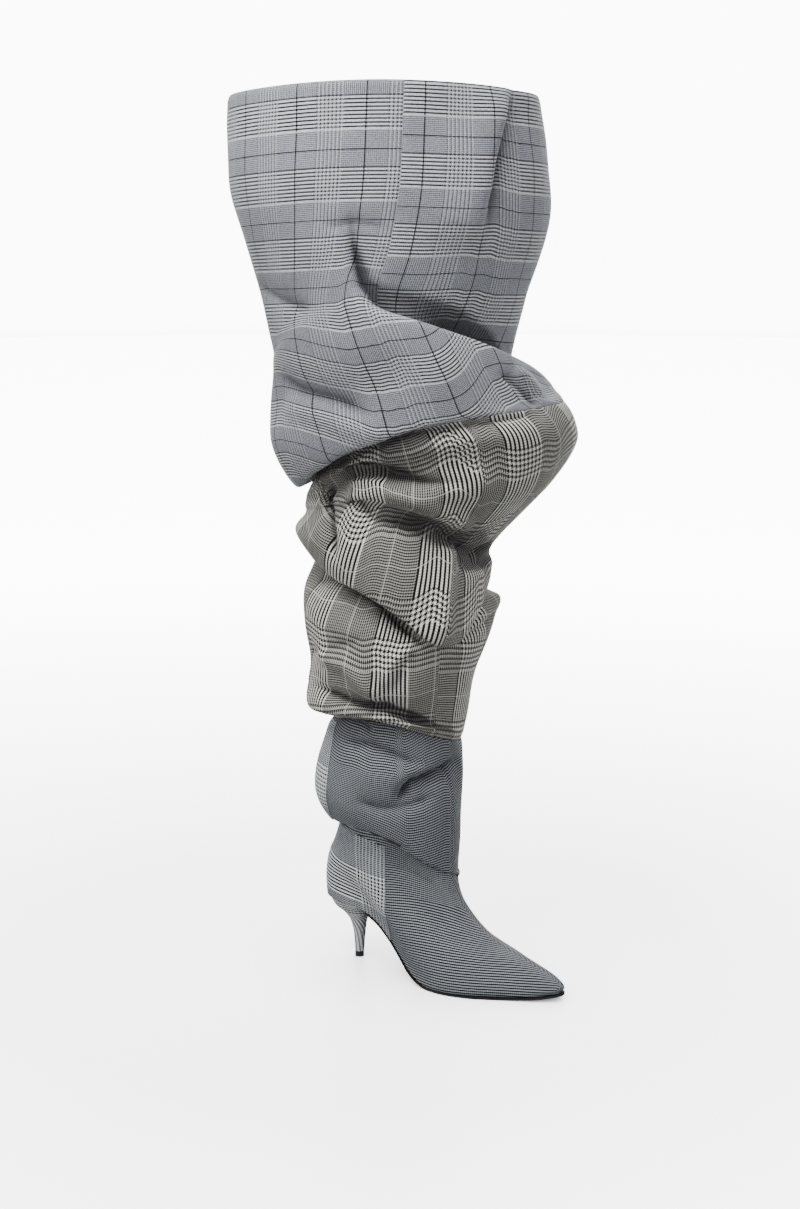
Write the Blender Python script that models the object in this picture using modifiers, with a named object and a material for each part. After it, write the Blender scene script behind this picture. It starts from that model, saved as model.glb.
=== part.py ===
"""Slouched thigh-high boot on a slim covered heel: the right boot, empty, standing on its sole.

All sizes are in millimetres until a mesh is made. The origin is the middle of the heel tip's floor
face, +X points to the toe, +Y to the inner side of the foot and +Z up.
"""
import math

import bmesh
import bpy
import numpy as np

for old in list(bpy.data.objects):
    bpy.data.objects.remove(old, do_unlink=True)

MM = 0.001
GAP = 0.3             # clearance between pieces that meet
WALL = 2.0            # cloth and lining of the foot and the leg
PANEL = 0.8           # thickness of the patches over the heel and up the back
SOLE_THICK = 2.7      # outsole
INSOLE_THICK = 2.0
INSOLE_CLEAR = 3.2    # from the outside of the upper to the edge of the insole
AROUND = 36           # points round each ring
STEPS = 2             # rows of faces between one ring and the next
SEAM_STEP = 0.02      # share of a ring's spacing over which the run of the cloth is measured
OUTSOLE_INSET = 0.4   # from the outside of the upper to the edge of the outsole

# The leg is described round an upright axis over the arch. Its four sides are turned a little
# from the foot's own: "right" looks past the inner side of the toe, "near" past the outer side.
AXIS_X = 36.0
TURN = math.radians(29.5)

# Sole: outline from the heel (0) to the toe (1) as fullness of each side, and height of its edge.
SOLE_BACK = -33.0
SOLE_FRONT = 231.0
TOE_SWING = 5.0
SOLE_OUTLINE = [
    # along, outer, inner
    (0.00, 58.0, 58.0),
    (0.10, 43.0, 43.0),
    (0.20, 32.0, 31.0),
    (0.34, 29.0, 22.0),
    (0.46, 39.0, 28.0),
    (0.58, 46.5, 34.0),
    (0.70, 44.5, 36.5),
    (0.82, 36.0, 34.0),
    (1.00, 29.0, 28.0),
]
SOLE_PROFILE = [
    # x, height
    (-33.0, 67.0),
    (0.0, 65.0),
    (20.0, 61.5),
    (35.0, 54.0),
    (50.0, 41.0),
    (65.0, 26.0),
    (80.0, 12.5),
    (95.0, 5.0),
    (106.0, 3.0),
    (172.0, 3.0),
    (205.0, 4.6),
    (231.0, 8.0),
]

# Foot: one row per ring from the sole's edge to the instep.
FOOT_RINGS = [
    # name, back x, back z, front x, front z, sole bend, rounding, heel full, toe full
    ("sole edge", -33.0, 67.0, 231.0, 8.0, 1.00, 0.00, 58.0, 29.0),
    ("side wall", -34.5, 79.0, 232.5, 13.5, 0.97, 0.10, 58.0, 30.0),
    ("toe top", -34.5, 91.0, 221.0, 22.0, 0.86, 0.25, 58.0, 24.0),
    ("vamp", -32.5, 104.0, 196.0, 32.0, 0.62, 0.50, 57.0, 20.0),
    ("throat", -28.0, 117.0, 155.0, 47.0, 0.36, 0.75, 56.0, 20.0),
    ("instep", -21.0, 131.0, 121.0, 76.0, 0.16, 0.92, 54.0, 25.0),
]

# Leg: one row per fold or crease. Height and distance from the axis on the four sides, then the
# pointed tip of a flap: where it hangs (degrees), how far down and out, and how wide.
NO_TIP = (0.0, 0.0, 0.0, 30.0)
LEG_RINGS = [
    # name, z right, near, left, far, r right, near, left, far, tip
    ("ankle crease", (100, 156, 164, 160), (68, 47, 47, 45), (30, 0, 6, 25)),
    ("ankle lip", (106, 149, 158, 155), (69, 59, 58, 52), (30, 0, 4, 25)),
    ("ankle bulge", (190, 188, 192, 192), (74, 68, 74, 64), NO_TIP),
    ("ankle trough", (226, 240, 246, 240), (74, 62, 62, 59), NO_TIP),
    ("ankle seam", (239, 268, 261, 260), (73, 60, 56, 57), NO_TIP),
    ("calf roll", (247, 275, 272, 270), (75, 71, 80, 67), NO_TIP),
    ("calf crease", (258, 288, 298, 286), (77, 65, 80, 67), NO_TIP),
    ("calf", (313, 306, 325, 318), (87, 80, 78, 74), NO_TIP),
    ("calf bulge", (370, 350, 384, 372), (106, 86, 84, 80), NO_TIP),
    ("flap crease", (392, 408, 420, 412), (94, 76, 72, 80), (56, -38, 0, 30)),
    ("flap lip", (403, 396, 434, 424), (98, 93, 75, 84), (56, -40, 8, 28)),
    ("flap", (419, 440, 455, 446), (101, 99, 84, 90), (56, -20, 2, 35)),
    ("under knee", (438, 478, 474, 470), (103, 94, 76, 82), NO_TIP),
    ("knee low", (498, 496, 484, 488), (158, 103, 79, 88), NO_TIP),
    ("knee crease", (534, 516, 492, 504), (181, 93, 75, 85), NO_TIP),
    ("knee roll", (556, 534, 498, 515), (180, 106, 79, 90), NO_TIP),
    ("knee seam", (575, 551, 503, 530), (170, 109, 84, 96), NO_TIP),
    ("billow lip", (586, 556, 498, 538), (160, 121, 101, 108), NO_TIP),
    ("billow", (596, 612, 546, 590), (152, 131, 114, 118), NO_TIP),
    ("billow edge", (598, 664, 606, 630), (148, 128, 111, 114), NO_TIP),
    ("pocket", (606, 686, 624, 648), (119, 124, 111, 113), (42, -15, -8, 32)),
    ("thigh", (672, 732, 695, 702), (131, 127, 127, 121), NO_TIP),
    ("flare", (752, 790, 775, 775), (153, 133, 149, 128), NO_TIP),
    ("collar", (858, 868, 858, 862), (142, 134, 150, 130), NO_TIP),
]

# Stations of the two plates along the sole, counted in half columns from the toe.
OUTSOLE_ENDS = (1, 25)
INSOLE_ENDS = (4, 33)

# Covered heel: one row per section from the seat down to the tip.
HEEL_SEAT_FRONT = 20.0
HEEL_SEAT_HALF_WIDTH = 24.0
HEEL_SEAT_SQUARE = 4.0
HEEL_SECTIONS = [
    # height, back x, front x, half-width, squareness of the front
    (56.0, -26.5, 16.0, 19.5, 3.0),
    (48.0, -16.5, 10.5, 12.5, 2.6),
    (40.0, -10.0, 8.0, 8.4, 2.3),
    (26.0, -6.0, 6.4, 5.9, 2.2),
    (6.0, -4.6, 4.8, 4.6, 2.0),
]
HEEL_SEAT_INSET = 1.2
HEEL_AROUND = 28
TIP_HALF_LENGTH = 4.7
TIP_HALF_WIDTH = 4.6

# Patches on the back of the upper end at upright seams this far forward.
COUNTER_SEAM_X = 55.0
BACK_SEAM_X = 4.0
BLOCK_SIZE = 500.0    # larger than any patch

FINISHES = {
    # piece: colour, roughness
    "outsole": ((0.012, 0.012, 0.013), 0.45),
    "insole": ((0.02, 0.02, 0.02), 0.8),
    "heel_tip": ((0.015, 0.015, 0.015), 0.4),
    "heel": ((0.2, 0.21, 0.25), 0.7),
    "upper": ((0.16, 0.17, 0.2), 0.8),
    "heel_counter": ((0.2, 0.21, 0.25), 0.8),
    "back_panel": ((0.2, 0.21, 0.25), 0.8),
    "shaft_middle": ((0.3, 0.29, 0.26), 0.85),
    "shaft_top": ((0.26, 0.27, 0.3), 0.85),
}

BOOT = bpy.data.collections.new("slouch_thigh_boot")
bpy.context.scene.collection.children.link(BOOT)
CUTTERS = bpy.data.collections.new("cutters")
bpy.context.scene.collection.children.link(CUTTERS)


def curve_through(knots, values, at, level=False):
    """Smooth cubic curve through values at the knots, which may be arrays; level never overshoots."""
    knots = np.asarray(knots, float)
    values = np.asarray(values, float)
    flat = (-1,) + (1,) * (values.ndim - 1)
    width = np.diff(knots).reshape(flat)
    rise = np.diff(values, axis=0) / width
    middle = (rise[:-1] * width[1:] + rise[1:] * width[:-1]) / (width[1:] + width[:-1])
    if level:
        same = rise[:-1] * rise[1:] > 0
        middle = np.where(same, 2 * rise[:-1] * rise[1:] / np.where(same, rise[:-1] + rise[1:], 1), 0)
    slope = np.concatenate([rise[:1], middle, rise[-1:]])
    at = np.asarray(at, float)
    cell = np.clip(np.searchsorted(knots, at, side="right") - 1, 0, len(knots) - 2)
    w = width[cell]
    s = (at - knots[cell]).reshape(flat) / w
    start = (1 + 2 * s) * (1 - s) ** 2 * values[cell] + s * (1 - s) ** 2 * w * slope[cell]
    end = s * s * (3 - 2 * s) * values[cell + 1] + s * s * (s - 1) * w * slope[cell + 1]
    return start + end


def sole_height(x):
    """Height of the sole's upper edge at a distance along the foot."""
    table = np.array(SOLE_PROFILE)
    return curve_through(table[:, 0], table[:, 1], np.ravel(x), level=True).reshape(np.shape(x))


def sole_fullness(along, outer_side):
    """Half-width of the sole before its ends are rounded off, on either side."""
    table = np.array(SOLE_OUTLINE)
    outer = curve_through(table[:, 0], table[:, 1], along)
    inner = curve_through(table[:, 0], table[:, 2], along)
    return np.where(outer_side, outer, inner)


def foot_ring(row, angle):
    """Ring of the foot: a long oval, pointed at the toe, bent down like the sole."""
    name, back_x, back_z, front_x, front_z, bend, rounding, heel, toe = row
    along = (1 + np.cos(angle)) / 2
    sole_x = SOLE_BACK + (SOLE_FRONT - SOLE_BACK) * along
    heel_z = SOLE_PROFILE[0][1]
    toe_z = SOLE_PROFILE[-1][1]
    sag = sole_height(sole_x) - (heel_z + (toe_z - heel_z) * along)
    half = (1 - rounding) * sole_fullness(along, np.sin(angle) >= 0)
    half = half + rounding * (heel + (toe - heel) * along)
    x = back_x + (front_x - back_x) * along
    y = TOE_SWING * along ** 3 - half * np.sin(angle)
    z = back_z + (front_z - back_z) * along + bend * sag
    return np.stack([x, y, z], axis=-1)


def round_the_leg(sides, angle):
    """Smooth value round the leg from its value on the right, near, left and far side."""
    right, near, left, far = sides
    turned = angle + TURN
    value = (right + near + left + far) / 4
    value = value + (right - left) / 2 * np.cos(turned) + (near - far) / 2 * np.sin(turned)
    return value + (right + left - near - far) / 4 * np.cos(2 * turned)


def leg_ring(row, angle):
    """Ring of the leg along one fold, with the flap's pointed tip added."""
    name, heights, reaches, tip = row
    tip_at, tip_drop, tip_out, tip_width = tip
    away = (angle + TURN - math.radians(tip_at) + math.pi) % (2 * math.pi) - math.pi
    point = np.exp(-((away / math.radians(tip_width)) ** 2))
    z = round_the_leg(heights, angle) + tip_drop * point
    reach = round_the_leg(reaches, angle) + tip_out * point
    return np.stack([AXIS_X + reach * np.cos(angle), -reach * np.sin(angle), z], axis=-1)


ANGLES = np.linspace(0, 2 * math.pi, AROUND, endpoint=False)
RING_NAMES = [row[0] for row in FOOT_RINGS] + [row[0] for row in LEG_RINGS]
RINGS = np.array(
    [foot_ring(row, ANGLES) for row in FOOT_RINGS] + [leg_ring(row, ANGLES) for row in LEG_RINGS]
)


def edge_height(x):
    """Height of the upper's own lower edge, which runs straight from point to point."""
    edge = RINGS[0][AROUND // 2::-1]
    return np.interp(x, edge[:, 0], edge[:, 2])


def surface(first, last):
    """Rows of points of the boot's outside from one named ring to another."""
    start = RING_NAMES.index(first)
    end = RING_NAMES.index(last)
    at = np.linspace(start, end, (end - start) * STEPS + 1)
    return curve_through(np.arange(len(RINGS)), RINGS, at)


def seam_shift(name):
    """Half a clearance up the surface at a ring, to part two pieces that meet there."""
    at = RING_NAMES.index(name)
    below, above = curve_through(np.arange(len(RINGS)), RINGS, [at - SEAM_STEP, at + SEAM_STEP])
    step = above - below
    return step / np.linalg.norm(step, axis=-1, keepdims=True) * GAP / 2


def outward(points):
    """Unit vectors square to a closed surface of rows, pointing away from the leg."""
    around = np.roll(points, -1, axis=1) - np.roll(points, 1, axis=1)
    upward = np.gradient(points, axis=0)
    normal = np.cross(upward, around)
    return normal / np.linalg.norm(normal, axis=-1, keepdims=True)


def material(name):
    """Plain surface of one piece."""
    colour, roughness = FINISHES[name]
    made = bpy.data.materials.new(name)
    made.use_nodes = True
    shader = made.node_tree.nodes["Principled BSDF"]
    shader.inputs["Base Color"].default_value = (*colour, 1.0)
    shader.inputs["Roughness"].default_value = roughness
    return made


def piece(name, points, faces):
    """Named object of the boot from points in millimetres and faces."""
    mesh = bpy.data.meshes.new(name)
    mesh.from_pydata((np.asarray(points) * MM).tolist(), [], faces)
    mesh.validate()
    work = bmesh.new()
    work.from_mesh(mesh)
    bmesh.ops.recalc_face_normals(work, faces=work.faces)
    work.to_mesh(mesh)
    work.free()
    mesh.shade_smooth()
    mesh.materials.append(material(name))
    made = bpy.data.objects.new(name, mesh)
    BOOT.objects.link(made)
    return made


def rows_of_faces(rows, columns):
    """Pairs of triangles between neighbouring closed rows of points, facing away from the leg."""
    faces = []
    for row in range(rows - 1):
        for column in range(columns):
            here = row * columns + column
            beside = row * columns + (column + 1) % columns
            faces.append((here, here + columns, beside + columns))
            faces.append((here, beside + columns, beside))
    return faces


def shell(name, rows, thickness, side):
    """Cloth of even thickness on one side (-1 inside, 1 outside) of closed rows of points."""
    made = piece(name, rows.reshape(-1, 3), rows_of_faces(*rows.shape[:2]))
    solid = made.modifiers.new("wall", "SOLIDIFY")
    solid.thickness = thickness * MM
    solid.offset = side
    solid.use_rim = True
    return made


def keep_behind(patch, seam_x):
    """Leaves of a patch only what lies behind an upright seam."""
    middle_x = seam_x - BLOCK_SIZE / 2
    bpy.ops.mesh.primitive_cube_add(size=BLOCK_SIZE * MM, location=(middle_x * MM, 0, 0))
    block = bpy.context.object
    block.name = patch.name + "_block"
    bpy.ops.object.transform_apply(location=True)
    block.hide_render = True
    block.display_type = "WIRE"
    for holder in list(block.users_collection):
        holder.objects.unlink(block)
    CUTTERS.objects.link(block)
    cut = patch.modifiers.new("seam", "BOOLEAN")
    cut.operation = "INTERSECT"
    cut.solver = "EXACT"
    cut.object = block


def plate(name, left, right, drop, thickness):
    """Plate across the foot between two edges, following the sole's height."""
    strips = np.stack([left, right], axis=1)
    top = strips.copy()
    top[..., 2] = edge_height(strips[..., 0]) - drop
    bottom = top.copy()
    bottom[..., 2] -= thickness
    count = len(left)
    points = np.concatenate([top.reshape(-1, 3), bottom.reshape(-1, 3)])
    below = 2 * count
    faces = []
    for row in range(count - 1):
        a = 2 * row
        faces.append((a, a + 1, a + 3, a + 2))
        faces.append((below + a, below + a + 2, below + a + 3, below + a + 1))
        faces.append((a, a + 2, below + a + 2, below + a))
        faces.append((a + 1, below + a + 1, below + a + 3, a + 3))
    last = 2 * count - 2
    faces.append((0, below, below + 1, 1))
    faces.append((last, last + 1, below + last + 1, below + last))
    return piece(name, points, faces)


def sole_edges(inset, ends):
    """Outer and inner edge of the sole drawn in by an inset, toe first, at half columns of the rings."""
    first, last = ends
    angle = np.arange(first, last + 1) * math.pi / AROUND
    edges = []
    for side in (1, -1):
        ring = foot_ring(FOOT_RINGS[0], side * angle)
        along = np.gradient(ring[:, :2], axis=0)
        inward = np.stack([-along[:, 1], along[:, 0]], axis=-1) * -side
        inward /= np.linalg.norm(inward, axis=-1, keepdims=True)
        ring[:, :2] += inward * inset
        edges.append(ring)
    middle = (edges[0] + edges[1]) / 2
    edges[0][:, 0] = middle[:, 0]
    edges[1][:, 0] = middle[:, 0]
    return edges


# Outsole: thin black plate from the toe to the front of the heel.
outer_edge, inner_edge = sole_edges(OUTSOLE_INSET, OUTSOLE_ENDS)
plate("outsole", outer_edge, inner_edge, GAP, SOLE_THICK)

# Insole: closes the foot from inside, clear of the upper's wall.
outer_edge, inner_edge = sole_edges(INSOLE_CLEAR, INSOLE_ENDS)
plate("insole", outer_edge, inner_edge, -INSOLE_THICK, INSOLE_THICK)

# Upper: foot and ankle in one shell, open at the ankle seam and under the foot.
upper_rows = surface("sole edge", "ankle seam")
upper_rows[-1] -= seam_shift("ankle seam")
shell("upper", upper_rows, WALL, -1)

# Patches of the heel and the back, laid on the upper's own surface.
patch_rows = upper_rows + outward(upper_rows) * GAP
crease_row = RING_NAMES.index("ankle crease") * STEPS
lip_row = RING_NAMES.index("ankle lip") * STEPS
counter = shell("heel_counter", patch_rows[:crease_row], PANEL, 1)
keep_behind(counter, COUNTER_SEAM_X)
back = shell("back_panel", patch_rows[lip_row + 1:-1], PANEL, 1)
keep_behind(back, BACK_SEAM_X)

# Middle of the leg: folded shell from the ankle seam to the knee seam.
middle_rows = surface("ankle seam", "knee seam")
middle_rows[0] += seam_shift("ankle seam")
middle_rows[-1] -= seam_shift("knee seam")
shell("shaft_middle", middle_rows, WALL, -1)

# Top of the leg: billow and flared collar.
top_rows = surface("knee seam", "collar")
top_rows[0] += seam_shift("knee seam")
shell("shaft_top", top_rows, WALL, -1)


def heel_section(row, angle):
    """Section of the heel: half round at the back, squarer at the front."""
    height, back_x, front_x, half_width, square = row
    power = np.where(np.cos(angle) >= 0, 2 / square, 1.0)
    reach = (front_x - back_x) / 2
    x = (front_x + back_x) / 2 + reach * np.sign(np.cos(angle)) * np.abs(np.cos(angle)) ** power
    y = -half_width * np.sign(np.sin(angle)) * np.abs(np.sin(angle)) ** power
    return np.stack([x, y, np.full_like(x, height)], axis=-1)


# Covered heel: flared seat under the foot, slim column down to the tip.
heel_angle = np.linspace(0, 2 * math.pi, HEEL_AROUND, endpoint=False)
seat_back = SOLE_BACK + HEEL_SEAT_INSET
seat_row = (0.0, seat_back, HEEL_SEAT_FRONT, HEEL_SEAT_HALF_WIDTH, HEEL_SEAT_SQUARE)
seat = heel_section(seat_row, heel_angle)
seat[:, 2] = edge_height(seat[:, 0]) - GAP
heel_rings = [seat] + [heel_section(row, heel_angle) for row in HEEL_SECTIONS]
heel_faces = rows_of_faces(len(heel_rings), HEEL_AROUND)
half = HEEL_AROUND // 2
for k in range(1, half - 1):
    heel_faces.append((k, k + 1, HEEL_AROUND - k - 1, HEEL_AROUND - k))
heel_faces.append((0, 1, HEEL_AROUND - 1))
heel_faces.append((half - 1, half, half + 1))
foot_of_heel = (len(heel_rings) - 1) * HEEL_AROUND
heel_faces.append(tuple(range(foot_of_heel, foot_of_heel + HEEL_AROUND)))
piece("heel", np.concatenate(heel_rings), heel_faces)

# Heel tip: small black top piece standing on the floor.
bpy.ops.mesh.primitive_cylinder_add(vertices=HEEL_AROUND, radius=1.0, depth=1.0)
tip = bpy.context.object
tip.name = "heel_tip"
tip.data.name = "heel_tip"
tip_height = HEEL_SECTIONS[-1][0] - GAP
for vertex in tip.data.vertices:
    vertex.co.x *= TIP_HALF_LENGTH * MM
    vertex.co.y *= TIP_HALF_WIDTH * MM
    vertex.co.z = (vertex.co.z + 0.5) * tip_height * MM
tip.data.shade_smooth()
tip.data.materials.append(material("heel_tip"))
for holder in list(tip.users_collection):
    holder.objects.unlink(tip)
BOOT.objects.link(tip)
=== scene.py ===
"""Looks of the slouched thigh boot: patterned cloth with its folds, covered heel, sole, floor and light.

Lengths are in millimetres until a mesh is made. The origin is the middle of the heel tip's floor face,
+X points to the toe, +Y to the inner side of the foot and +Z up, as in the part itself.
"""

import math

import bpy
import numpy as np
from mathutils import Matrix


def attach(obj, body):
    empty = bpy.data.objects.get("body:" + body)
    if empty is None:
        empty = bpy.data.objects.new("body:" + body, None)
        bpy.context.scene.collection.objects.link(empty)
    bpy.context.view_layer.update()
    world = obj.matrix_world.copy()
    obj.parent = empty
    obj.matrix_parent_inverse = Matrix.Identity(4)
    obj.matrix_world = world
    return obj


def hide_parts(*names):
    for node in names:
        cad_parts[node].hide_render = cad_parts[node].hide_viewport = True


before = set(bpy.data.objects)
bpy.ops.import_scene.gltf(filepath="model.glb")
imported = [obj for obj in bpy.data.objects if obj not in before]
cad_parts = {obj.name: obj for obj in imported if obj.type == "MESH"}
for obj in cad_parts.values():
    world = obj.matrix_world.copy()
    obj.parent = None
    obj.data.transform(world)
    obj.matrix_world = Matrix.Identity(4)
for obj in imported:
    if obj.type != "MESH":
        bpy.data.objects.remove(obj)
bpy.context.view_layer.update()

# Outsole: thin black leather plate from the toe to the front of the heel, glued under the foot.
# Its edge is lightly rounded, follows the lower edge of the upper and stands out from it as a narrow rim.
MM = 0.001
SOLE_BACK = -33.0
SOLE_FRONT = 231.0
TOE_SWING = 5.0
SOLE_OUTLINE = [
    # share of the length from heel to toe, half-width on the outer side, on the inner side
    (0.00, 58.0, 58.0),
    (0.10, 43.0, 43.0),
    (0.20, 32.0, 31.0),
    (0.34, 29.0, 22.0),
    (0.46, 39.0, 28.0),
    (0.58, 46.5, 34.0),
    (0.70, 44.5, 36.5),
    (0.82, 36.0, 34.0),
    (1.00, 29.0, 28.0),
]
SOLE_PROFILE = [
    # x, height
    (SOLE_BACK, 67.0),
    (0.0, 65.0),
    (20.0, 61.5),
    (35.0, 54.0),
    (50.0, 41.0),
    (65.0, 26.0),
    (80.0, 12.5),
    (95.0, 5.0),
    (106.0, 3.0),
    (172.0, 3.0),
    (205.0, 4.6),
    (SOLE_FRONT, 8.0),
]
SOLE_GAP = 0.3
SOLE_THICK = 2.7
SOLE_RIM = 1.7
SOLE_SPAN = (2.0, 125.0)  # degrees round the outline, from the toe
SOLE_ROWS = 110
SOLE_EDGE_POINTS = 28
SOLE_EDGE_ROUND = 0.22
SOLE_BLACK = (0.003, 0.003, 0.003)
GRAIN_DETAIL = 3.0
GRAIN_STRENGTH = 0.5
PLAIN_SHEEN = 0.06


def curve_through(knots, values, at, level=False):
    """Cubic curve through values at the knots, which may be arrays: its slope at a knot is the weighted
    mean of the slopes on both sides, or with level their harmonic mean, so that it never overshoots."""
    knots = np.asarray(knots, float)
    values = np.asarray(values, float)
    flat = (-1,) + (1,) * (values.ndim - 1)
    width = np.diff(knots).reshape(flat)
    rise = np.diff(values, axis=0) / width
    middle = (rise[:-1] * width[1:] + rise[1:] * width[:-1]) / (width[1:] + width[:-1])
    if level:
        same = rise[:-1] * rise[1:] > 0
        middle = np.where(same, 2 * rise[:-1] * rise[1:] / np.where(same, rise[:-1] + rise[1:], 1), 0)
    slope = np.concatenate([rise[:1], middle, rise[-1:]])
    at = np.asarray(at, float)
    cell = np.clip(np.searchsorted(knots, at, side="right") - 1, 0, len(knots) - 2)
    w = width[cell]
    s = (at - knots[cell]).reshape(flat) / w
    start = (1 + 2 * s) * (1 - s) ** 2 * values[cell] + s * (1 - s) ** 2 * w * slope[cell]
    end = s * s * (3 - 2 * s) * values[cell + 1] + s * s * (s - 1) * w * slope[cell + 1]
    return start + end


def sole_height(x):
    """Height of the sole's upper edge at a distance along the foot: a level curve through its profile."""
    table = np.array(SOLE_PROFILE)
    return curve_through(table[:, 0], table[:, 1], np.ravel(x), level=True).reshape(np.shape(x))


def sole_half(along, side):
    """Half-width of the sole before its ends are rounded off, on the outer (1) or inner (2) side: a curve
    through its outline."""
    table = np.array(SOLE_OUTLINE)
    return curve_through(table[:, 0], table[:, side], np.ravel(along)).reshape(np.shape(along))


def signed_power(value, power):
    """Size of a value raised to a power, with the value's own sign: a sine becomes a squarer wave."""
    return np.sign(value) * np.abs(value) ** power


def grid_piece(name, points, uv=None, closed=True):
    """Object from a grid of points, one face between each four. Its outside is the side from which a step to
    the next row and then to the next column turns left. Closed joins the last column to the first, and uv
    holds (row, face column, left or right edge, 2) in metres."""
    rows, columns = points.shape[:2]
    row = np.arange(rows - 1)[:, None]
    column = np.arange(columns if closed else columns - 1)[None]
    beside = (column + 1) % columns
    here = row * columns
    corners = [here + column, here + columns + column, here + columns + beside, here + beside]
    mesh = bpy.data.meshes.new(name)
    mesh.from_pydata((points.reshape(-1, 3) * MM).tolist(), [], np.stack(corners, -1).reshape(-1, 4).tolist())
    if uv is not None:
        layer = mesh.uv_layers.new(name="cloth")
        laid = np.stack([uv[:-1, :, 0], uv[1:, :, 0], uv[1:, :, 1], uv[:-1, :, 1]], axis=2)
        layer.data.foreach_set("uv", laid.astype(np.float32).ravel())
    mesh.shade_smooth()
    made = bpy.data.objects.new(name, mesh)
    bpy.context.scene.collection.objects.link(made)
    return made


def settle(made, node):
    """Hangs a piece under the root body and hides the CAD node that it stands for."""
    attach(made, "root")
    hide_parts(node)


def maths(tree, operation, *values):
    """One arithmetic node whose inputs are numbers or other nodes' outputs."""
    node = tree.nodes.new("ShaderNodeMath")
    node.operation = operation
    for socket, value in zip(node.inputs, values):
        if isinstance(value, bpy.types.NodeSocket):
            tree.links.new(value, socket)
        else:
            socket.default_value = value
    return node.outputs[0]


def bumped(tree, scale, strength, distance):
    """Fine uneven grain over a surface in its own object space."""
    place = tree.nodes.new("ShaderNodeTexCoord")
    noise = tree.nodes.new("ShaderNodeTexNoise")
    noise.inputs["Scale"].default_value = scale
    noise.inputs["Detail"].default_value = GRAIN_DETAIL
    tree.links.new(place.outputs["Object"], noise.inputs["Vector"])
    bump = tree.nodes.new("ShaderNodeBump")
    bump.inputs["Strength"].default_value = strength
    bump.inputs["Distance"].default_value = distance
    tree.links.new(noise.outputs["Fac"], bump.inputs["Height"])
    return bump.outputs["Normal"]


def plain(name, colour, roughness, grain):
    """Even-coloured material with a fine grain, given as scale per metre and depth in metres."""
    made = bpy.data.materials.new(name)
    made.use_nodes = True
    shader = made.node_tree.nodes["Principled BSDF"]
    shader.inputs["Base Color"].default_value = (*colour, 1.0)
    shader.inputs["Roughness"].default_value = roughness
    shader.inputs["Specular IOR Level"].default_value = PLAIN_SHEEN
    scale, depth = grain
    normal = bumped(made.node_tree, scale, GRAIN_STRENGTH, depth)
    made.node_tree.links.new(normal, shader.inputs["Normal"])
    return made


sole_angle = np.radians(np.linspace(*SOLE_SPAN, SOLE_ROWS))
sole_along = (1 + np.cos(sole_angle)) / 2
sole_x = SOLE_BACK + (SOLE_FRONT + SOLE_RIM - SOLE_BACK) * sole_along
sole_swing = TOE_SWING * sole_along ** 3
sole_outer = sole_swing - (sole_half(sole_along, 1) * np.sin(sole_angle) + SOLE_RIM)
sole_inner = sole_swing + (sole_half(sole_along, 2) * np.sin(sole_angle) + SOLE_RIM)
edge_angle = np.linspace(0, 2 * math.pi, SOLE_EDGE_POINTS, endpoint=False)
edge_across = signed_power(np.cos(edge_angle), SOLE_EDGE_ROUND)
edge_rise = signed_power(np.sin(edge_angle), SOLE_EDGE_ROUND)
sole_middle = ((sole_outer + sole_inner) / 2)[:, None]
sole_reach = ((sole_inner - sole_outer) / 2)[:, None]
sole_points = np.stack(
    [
        np.repeat(sole_x[:, None], SOLE_EDGE_POINTS, axis=1),
        sole_middle + sole_reach * edge_across,
        (sole_height(sole_x) - SOLE_GAP - SOLE_THICK / 2)[:, None] + SOLE_THICK / 2 * edge_rise,
    ],
    axis=-1,
)
outsole = grid_piece("outsole_leather", sole_points)
outsole.data.materials.append(plain("black_sole", SOLE_BLACK, roughness=0.6, grain=(900, 0.0001)))
settle(outsole, "outsole")

# Insole: dark leather sheet that closes the foot from inside, glued down over the sole.
# It keeps the plain shape of the part and only takes its finish here.
INSOLE_DARK = (0.02, 0.019, 0.018)


def refinish(node, finish):
    """Puts one finish on a CAD node that keeps its own shape."""
    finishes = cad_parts[node].data.materials
    finishes.clear()
    finishes.append(finish)


refinish("insole", plain("insole_grain", INSOLE_DARK, roughness=0.6, grain=(700, 0.0001)))

# Heel tip: small black rubber top piece, pinned under the heel where it meets the floor.
# It keeps the plain shape of the part and only takes its finish here.
TIP_BLACK = (0.012, 0.012, 0.012)
refinish("heel_tip", plain("black_rubber", TIP_BLACK, roughness=0.5, grain=(1500, 0.0001)))

# Covered heel: slim column with a flared seat, wrapped in the checked cloth of the back of the foot.
# The cloth runs upright down the column; its edges meet in a line down the front.
HEEL_SECTIONS = [
    # height at the back, height at the front, back x, front x, half-width, squareness of the front
    (66.6, 61.0, -31.8, 20.0, 24.0, 4.0),
    (56.0, 56.0, -26.5, 16.0, 19.5, 3.0),
    (48.0, 48.0, -16.5, 10.5, 12.5, 2.6),
    (40.0, 40.0, -10.0, 8.0, 8.4, 2.3),
    (26.0, 26.0, -6.0, 6.4, 5.9, 2.2),
    (6.0, 6.0, -4.6, 4.8, 4.6, 2.0),
]
HEEL_AROUND = 96
HEEL_ROWS = 90
HEEL_LAY = (-44.0, 20.0)  # length along the cloth at the heel tip and at the seat
MIX_INPUTS = (0, 6, 7)
MIX_OUTPUT = 2
# Painted shade: cloth in creases, hollows and under rolls is darkened in colour by up to this share, towards
# a near black that is also the colour of the yarn's dark flecks.
CREASE_SHADE = 0.9
SHADE_AND_FLECK_BLACK = (0.006, 0.006, 0.007)
BOLD_STEP = 8
FINE_STEP = 4
FINE_LIGHT = 2
TWILL_STEP = 4
TWILL_OVER = 2
FLECK_SCALE = 900.0
FLECK_LEVEL = 0.53
CLOTH_ROUGHNESS = 0.85
CLOTH_SHEEN = 0.04
CLOTH_GRAIN = {"scale": 700, "strength": 0.35, "distance": 0.0004}


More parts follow.
